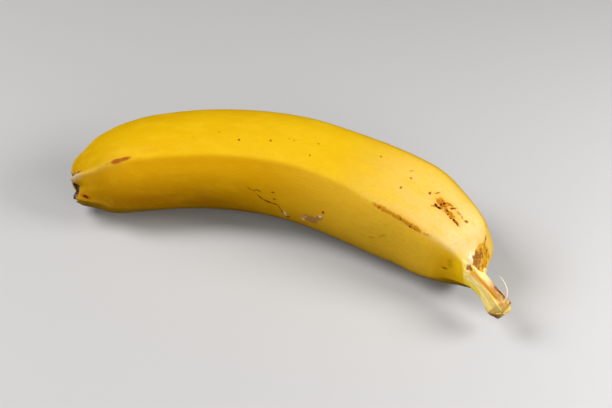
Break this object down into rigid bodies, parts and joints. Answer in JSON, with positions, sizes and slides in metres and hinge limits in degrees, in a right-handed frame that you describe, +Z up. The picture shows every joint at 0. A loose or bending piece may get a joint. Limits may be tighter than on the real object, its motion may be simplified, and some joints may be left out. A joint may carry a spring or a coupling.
{
  "type": "banana",
  "caption": "Single ripe banana lying on its side: curved ribbed peel, blunt blossom end, bruised neck and short fluted stem.",
  "frame": {"origin": "under the middle of the fruit's box, on the table's face", "axes": "+X from the blossom end towards the stem, +Y towards the outer side of the curve, +Z up as the fruit lies on a table"},
  "size_m": [0.1716, 0.0584, 0.0391],
  "materials": {
    "peel": "waxy satin fruit peel, yellow with brown scars"
  },
  "bodies": {
    "root": {"banana": "peel"}
  },
  "joints": []
}
